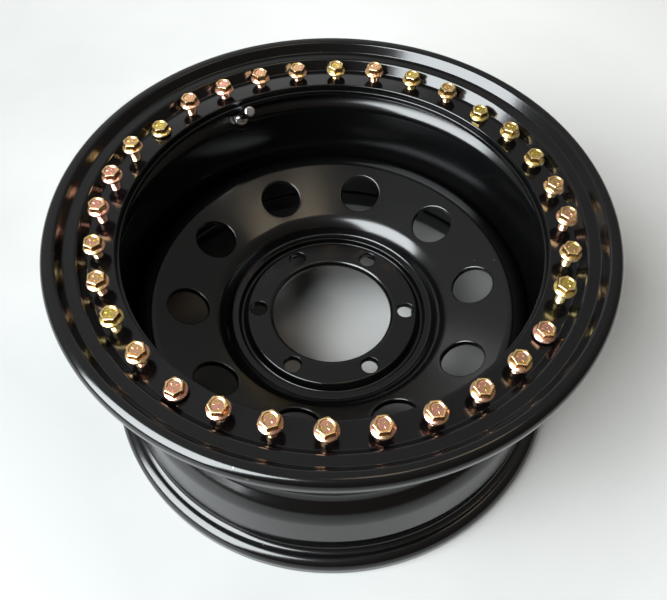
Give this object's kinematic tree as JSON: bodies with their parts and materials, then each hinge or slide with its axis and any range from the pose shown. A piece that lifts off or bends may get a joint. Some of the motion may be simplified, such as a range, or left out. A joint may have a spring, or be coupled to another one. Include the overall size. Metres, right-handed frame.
{
  "type": "beadlock wheel",
  "caption": "Steel off-road wheel with a vented pressed disc, a bolted clamp ring that locks the outer tyre bead, a hub bore with a lug bolt circle, and a tyre valve.",
  "frame": {"origin": "on the wheel axis, in the floor plane under the inboard flange that the wheel lies on", "axes": "+Z along the wheel axis towards the beadlock (outboard) face, +X towards one lug hole, +Y across"},
  "size_m": [0.4505, 0.4506, 0.2334],
  "materials": {
    "black_paint": "gloss black paint over steel",
    "yellow_zinc": "yellow zinc plated steel, slightly iridescent",
    "nickel": "bright plated",
    "rubber": "matt black rubber",
    "brass": "turned brass",
    "seal_plastic": "white seal",
    "spring_steel": "drawn wire"
  },
  "bodies": {
    "wheel": {"rim_barrel": "black_paint", "wheel_disc": "black_paint", "disc_weld": "black_paint", "bead_ring": "black_paint", "ring_weld": "black_paint", "clamp_ring": "black_paint", "ring_bolts": "yellow_zinc", "valve_stem": "nickel", "valve_seal": "rubber", "valve_washer": "nickel", "valve_nut": "nickel", "core_body": "brass", "core_seal": "seal_plastic", "core_spring": "spring_steel"},
    "cap_seal": {"cap_gasket": "rubber"},
    "cap": {"valve_cap": "nickel"},
    "pin": {"core_pin": "brass"}
  },
  "joints": [
    {"name": "cap_slide", "type": "slide", "parent": "wheel", "child": "cap_seal", "axis": [0.345, -0.6172, 0.7071], "range_m": [0, 0.00635]},
    {"name": "cap_turn", "type": "hinge", "parent": "cap_seal", "child": "cap", "pos_m": [-0.08938, 0.15992, 0.1842], "axis": [0.345, -0.6172, 0.7071], "range_deg": [0, 2880]},
    {"name": "pin_press", "type": "slide", "parent": "wheel", "child": "pin", "axis": [-0.345, 0.6172, -0.7071], "range_m": [0, 0.0007], "stiffness_N_per_m": 1500, "springref_m": -0.0015}
  ],
  "couplings": [
    {"joint": "cap_turn", "follows": "cap_slide", "rad_per_m": 7913.3}
  ]
}
